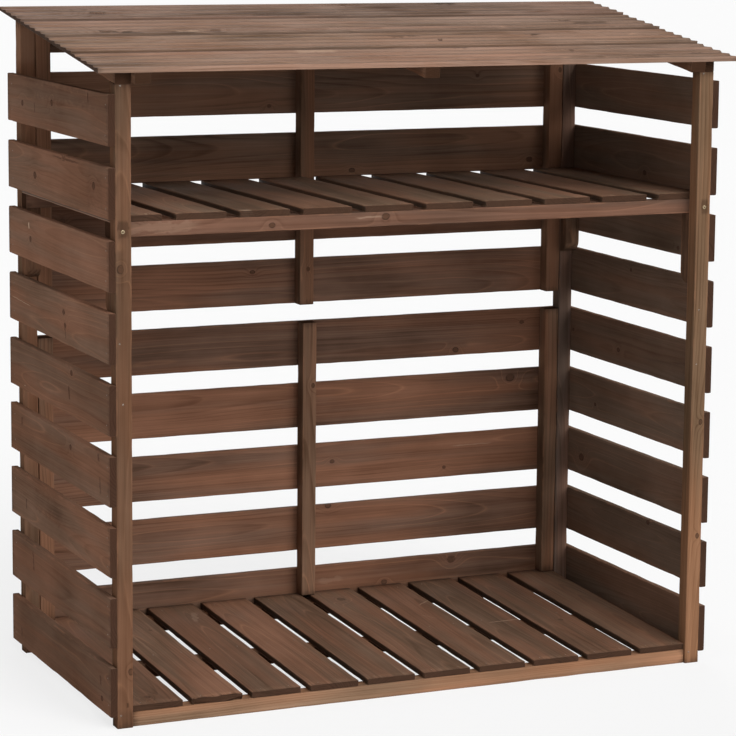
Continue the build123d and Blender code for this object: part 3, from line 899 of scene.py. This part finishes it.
# ---------------------------------------------------------------- nails and screws
class Heads:
    """Nail or screw heads in one mesh. Each is set in a flat face: its place and the way it faces."""

    def __init__(self, seed):
        self.rng = random.Random(seed)
        self.points, self.faces, self.depth = [], [], []

    def rings(self, place, facing, radii, sides, height):
        """A round of rings; height(radius, turn) gives how far a point stands out of the face."""
        away = facing.orthogonal().normalized()
        other = facing.cross(away)
        first = len(self.points)
        spin = self.rng.uniform(0, math.tau)
        for r in radii:
            for k in range(sides):
                turn = math.tau * k / sides
                out = height(r, turn)
                flat_place = away * math.cos(turn + spin) * r + other * math.sin(turn + spin) * r
                self.points.append(place + flat_place + facing * out)
                self.depth.append(min(1.0, max(0.0, -out / 0.0009)))
        for i in range(len(radii) - 1):
            p, q = first + i * sides, first + (i + 1) * sides
            for k in range(sides):
                j = (k + 1) % sides
                self.faces.append((p + k, p + j, q + j, q + k))
        self.faces.append(tuple(range(first + (len(radii) - 1) * sides, first + len(radii) * sides)))

    def nail(self, place, facing, radius=NAIL_R):
        """Nail head, flush to within a tenth of a millimetre and up to 3 mm out of line."""
        jitter = facing.orthogonal().normalized() * self.rng.uniform(-0.002, 0.002)
        jitter += facing.cross(jitter).normalized() * self.rng.uniform(-0.0025, 0.0025)
        proud = self.rng.uniform(0.00003, 0.00008)
        self.rings(place + jitter, facing, (radius, radius * 0.93, radius * 0.5), 10,
                   lambda r, turn: proud if r < radius else -0.0003)

    def screw(self, place, facing):
        """Countersunk screw with a domed head and a cross recess."""
        def height(r, turn):
            if r >= SCREW_R:
                return -0.0004
            across = min(abs(math.cos(turn)), abs(math.sin(turn))) * r
            in_cross = across < 0.00052 and r < SCREW_R * 0.56
            return -0.0010 if in_cross else 0.0003 - 0.00025 * (r / SCREW_R) ** 2

        radii = [SCREW_R * k for k in (1.0, 0.965, 0.86, 0.72, 0.6, 0.545, 0.45, 0.35, 0.25, 0.16, 0.08)]
        self.rings(place, facing, radii, 64, height)

    def build(self, name, material):
        mesh = bpy.data.meshes.new(name)
        mesh.from_pydata([tuple(p) for p in self.points], [], self.faces)
        depth = mesh.attributes.new("depth", "FLOAT", "POINT")
        depth.data.foreach_set("value", self.depth)
        mesh.materials.append(material)
        piece = bpy.data.objects.new(name, mesh)
        bpy.context.scene.collection.objects.link(piece)
        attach(piece, "root")


def post_middles():
    """Where the posts stand across the front, by side."""
    return {side: middle("post_front_" + side)[0].x for side in ("left", "right")}


def nail_walls():
    """Two nails where each side board crosses a post, and each back board a post or a batten."""
    heads = Heads(800)
    front, back = middle("post_front_left")[0].y, middle("post_back_left")[0].y
    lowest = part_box("side_boards_left")[0].z + SLAT_H / 2
    rows = [lowest + row * SLAT_PITCH for row in range(2 * PANEL_ROWS)]
    for side, outward in (("left", -X), ("right", X)):
        low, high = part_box("side_boards_" + side)
        x = low.x if side == "left" else high.x
        for z in rows[:SIDE_ROWS]:
            for y in (front, back):
                for up in (-SLAT_NAIL_UP, SLAT_NAIL_UP):
                    heads.nail(Vector((x, y, z + up)), outward)
    back_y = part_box("back_boards_lower")[1].y - 0.0001
    uprights = list(post_middles().values())
    for row, z in enumerate(rows):
        level = "lower" if row < PANEL_ROWS else "upper"
        battens = [middle(f"back_batten_{level}_{place}")[0].x for place in ("left", "middle", "right")]
        for x in uprights + battens:
            for up in (-SLAT_NAIL_UP, SLAT_NAIL_UP):
                heads.nail(Vector((x, back_y, z + up)), Y)
    heads.build("wall_nails", NAIL_STEEL)


def nail_decks():
    """Two nails where each floor, shelf or roof board crosses a rail or a batten."""
    heads = Heads(801)
    low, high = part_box("floor_boards")
    off_floor = X.cross(UP_FLOOR)
    centre = (low + high) / 2
    for x in spread(low.x + DECK_W / 2, high.x - DECK_W / 2, DECK_BOARDS):
        for place in ("front", "middle", "back"):
            along = (middle("floor_rail_" + place)[0] - centre).dot(UP_FLOOR)
            for aside in (-DECK_NAIL_ASIDE, DECK_NAIL_ASIDE):
                spot = Vector((x + aside, centre.y, centre.z)) + UP_FLOOR * along + off_floor * DECK_T / 2
                heads.nail(spot, off_floor)
    low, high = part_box("shelf_boards")
    for x in spread(low.x + SHELF_W / 2, high.x - SHELF_W / 2, DECK_BOARDS):
        for place in ("front", "back"):
            y = middle("shelf_rail_" + place)[0].y
            for aside in (-DECK_NAIL_ASIDE, DECK_NAIL_ASIDE):
                heads.nail(Vector((x + aside, y, high.z)), Z)
    uprights = list(post_middles().values())
    uprights += [middle(f"roof_batten_{place}")[0].x for place in ("left", "middle", "right")]
    heads_at = [FIRST_RISER + RISER_RUN + RISER_PITCH * k for k in (0, 2)]
    for number in range(1, ROOF_BOARDS + 1):
        corner_place = roof_board_corner(number)
        for x in uprights:
            for head in heads_at:
                along = head + TREAD_NAIL
                spot = corner_place + UP_ROOF * along + OFF_ROOF * roof_height(along, head)
                heads.nail(Vector((x, spot.y, spot.z)), OFF_ROOF)
    heads.build("deck_nails", NAIL_STEEL)


def fix_posts():
    """A screw into each end of the shelf's front rail, and nails down the front of both front posts."""
    screws, heads = Heads(802), Heads(803)
    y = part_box("post_front_left")[0].y
    shelf_z = middle("shelf_rail_front")[0].z
    across = post_middles()
    screws.screw(Vector((across["left"] - 0.001, y, shelf_z)), -Y)
    screws.screw(Vector((across["right"] + 0.002, y, shelf_z)), -Y)
    screws.build("shelf_screws", SCREW_BRASS)
    for side in ("left", "right"):
        for z, aside in ((1.078, -0.006), (0.655, -0.005), (0.553, -0.005), (0.020, -0.008)):
            heads.nail(Vector((across[side] + aside, y, z)), -Y, POST_NAIL_R)
    heads.build("post_nails", NAIL_STEEL)


make_posts()
make_side_boards()
make_back_boards()
make_battens()
make_top_rails()
make_roof_battens()
make_roof_boards()
make_floor_rails()
make_floor_boards()
make_shelf_rails()
make_shelf_boards()
make_shelf_blocks()
nail_walls()
nail_decks()
fix_posts()


# ---------------------------------------------------------------- stage, light and camera
def stage_floor():
    """A wide pale floor that looks almost white but still takes a faint shadow."""
    bpy.ops.mesh.primitive_plane_add(size=90, location=(0, 0, 0))
    ground = bpy.context.object
    ground.name = "stage_floor"
    g = Graph("stage_pale")
    plain = g.node("BsdfDiffuse", {"Color": (0.86, 0.86, 0.86, 1)})
    bright = g.node("Emission", {"Color": (0.95, 0.95, 0.95, 1)})
    seen = g.calc("MULTIPLY", g.node("LightPath").outputs["Is Camera Ray"], 0.8)
    mixed = g.node("MixShader", {0: seen, 1: plain.outputs[0], 2: bright.outputs[0]})
    g.node("OutputMaterial", {0: mixed.outputs[0]})
    ground.data.materials.append(g.material)


def soft_sun(name, azimuth, elevation, power):
    """A distant soft light. Azimuth 0 shines on the front, and a positive one comes from the right."""
    a, e = math.radians(azimuth), math.radians(elevation)
    towards = Vector((math.sin(a) * math.cos(e), -math.cos(a) * math.cos(e), math.sin(e)))
    light = bpy.data.lights.new(name, "SUN")
    light.energy = power * math.pi
    light.angle = math.radians(45)
    lamp = bpy.data.objects.new(name, light)
    lamp.rotation_mode = "QUATERNION"
    lamp.rotation_quaternion = (-towards).to_track_quat("-Z", "Y")
    bpy.context.scene.collection.objects.link(lamp)


def studio():
    """A white background that gives little light, and soft suns that give the most."""
    world = bpy.data.worlds.new("studio")
    bpy.context.scene.world = world
    world.use_nodes = True
    nodes, links = world.node_tree.nodes, world.node_tree.links
    seen, lit = nodes.new("ShaderNodeBackground"), nodes.new("ShaderNodeBackground")
    mixed, path = nodes.new("ShaderNodeMixShader"), nodes.new("ShaderNodeLightPath")
    seen.inputs[0].default_value = (0.95, 0.95, 0.95, 1)
    lit.inputs[0].default_value = (1, 1, 1, 1)
    lit.inputs[1].default_value = 0.06
    links.new(path.outputs["Is Camera Ray"], mixed.inputs[0])
    links.new(lit.outputs[0], mixed.inputs[1])
    links.new(seen.outputs[0], mixed.inputs[2])
    links.new(mixed.outputs[0], nodes["World Output"].inputs[0])
    soft_sun("key_low", 26, 22, 0.60)
    soft_sun("key_high", 6, 46, 0.60)
    soft_sun("fill", -38, 6, 0.05)
    soft_sun("right", 75, 38, 0.25)
    soft_sun("left", -75, 17, 0.22)
    soft_sun("behind", 180, 42, 0.38)


def photo_camera():
    """A long lens from the front left, a little above the roof."""
    yaw, pitch, roll = math.radians(23.971), math.radians(8.726), math.radians(0.510)
    ahead = Vector((math.sin(yaw) * math.cos(pitch), math.cos(yaw) * math.cos(pitch), -math.sin(pitch)))
    level = Vector((math.cos(yaw), -math.sin(yaw), 0))
    above = level.cross(ahead)
    right = level * math.cos(roll) + above * math.sin(roll)
    up = above * math.cos(roll) - level * math.sin(roll)
    lens = bpy.data.cameras.new("camera")
    lens.sensor_width = 36.0
    lens.lens = 139.7
    lens.shift_y = -0.0598
    camera = bpy.data.objects.new("camera", lens)
    place = Vector((-2.0653, -4.6712, 1.4034))
    camera.matrix_world = Matrix.Translation(place) @ Matrix((right, up, -ahead)).transposed().to_4x4()
    bpy.context.scene.collection.objects.link(camera)
    bpy.context.scene.camera = camera


stage_floor()
studio()
photo_camera()
bpy.context.scene.view_settings.view_transform = "Standard"
